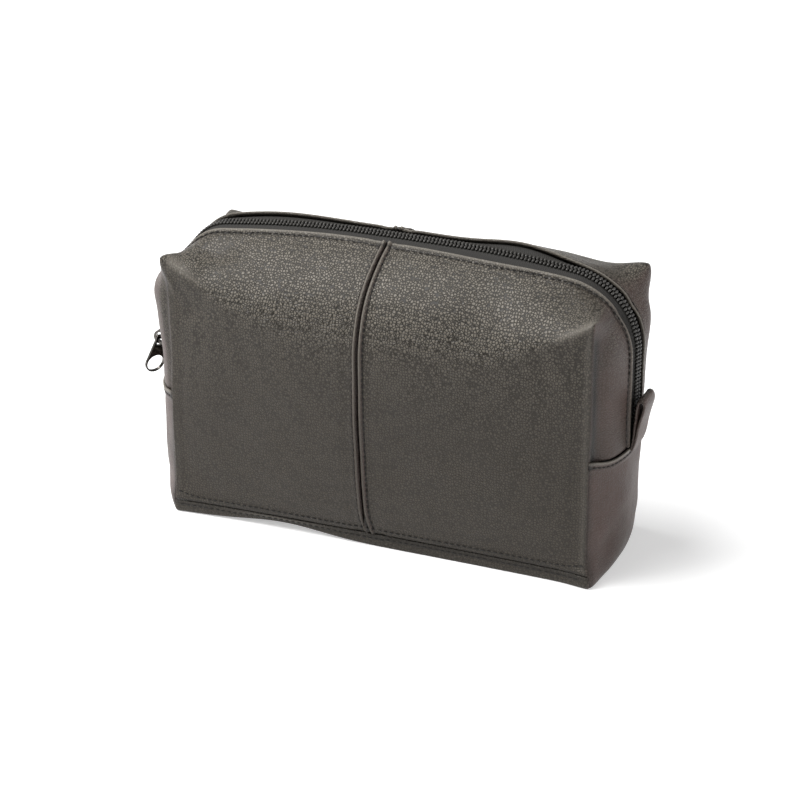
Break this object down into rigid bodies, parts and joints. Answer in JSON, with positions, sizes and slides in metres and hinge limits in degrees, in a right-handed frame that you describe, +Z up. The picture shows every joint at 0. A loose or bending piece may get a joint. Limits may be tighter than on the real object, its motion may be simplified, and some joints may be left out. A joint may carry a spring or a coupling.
{
  "type": "toiletry bag",
  "caption": "Soft leather toiletry bag with a zip over its domed top and down both ends, a slider with a ring puller, and a folded finger tab.",
  "frame": {"origin": "middle of the bag's underside, on the surface that it stands on", "axes": "+X along the bag towards the finger tab, +Y from front to back, +Z up"},
  "size_m": [0.2792, 0.094, 0.1588],
  "materials": {
    "leather": "pebbled grain, half matt, dark taupe",
    "lining": "plain weave, matt, near black",
    "zip_tape": "woven tape, matt black",
    "zip_coil": "satin black filament",
    "zip_metal": "polished dark nickel"
  },
  "bodies": {
    "bag": {"base_panel": "leather", "end_gusset_left": "leather", "end_gusset_right": "leather", "front_panel_left_lower": "leather", "front_panel_right_lower": "leather", "back_panel_left": "leather", "back_panel_right": "leather", "lining_lower": "lining", "lining_back": "lining", "zip_tape_back": "zip_tape", "zip_coil_back": "zip_coil", "zip_coil_back_end": "zip_coil", "zip_bottom_stop": "zip_coil"},
    "front_top": {"front_panel_left_upper": "leather", "front_panel_right_upper": "leather", "lining_front": "lining", "zip_tape_front": "zip_tape", "zip_coil_front": "zip_coil", "zip_coil_front_end": "zip_coil"},
    "slider": {"slider_body": "zip_metal"},
    "puller": {"puller": "zip_metal"},
    "finger_tab": {"finger_tab": "leather"}
  },
  "joints": [
    {"name": "mouth_open", "type": "hinge", "parent": "bag", "child": "front_top", "pos_m": [0, -0.0471, 0.066], "axis": [1, 0, 0], "range_deg": [0, 30], "deforming": ["zip_coil_front_end"]},
    {"name": "slider_slide", "type": "slide", "parent": "bag", "child": "slider", "axis": [0, 0, 1], "range_m": [-0.0035, 0.022], "deforming": ["zip_coil_front_end", "zip_coil_back_end"]},
    {"name": "puller_swing", "type": "hinge", "parent": "slider", "child": "puller", "pos_m": [-0.138, 0, 0.0805], "axis": [0, 1, 0], "range_deg": [-16, 140]},
    {"name": "tab_flex", "type": "hinge", "parent": "bag", "child": "finger_tab", "pos_m": [0.1263, 0, 0.0627], "axis": [0, 1, 0], "range_deg": [-2, 60], "stiffness_Nm_per_rad": 0.003}
  ]
}
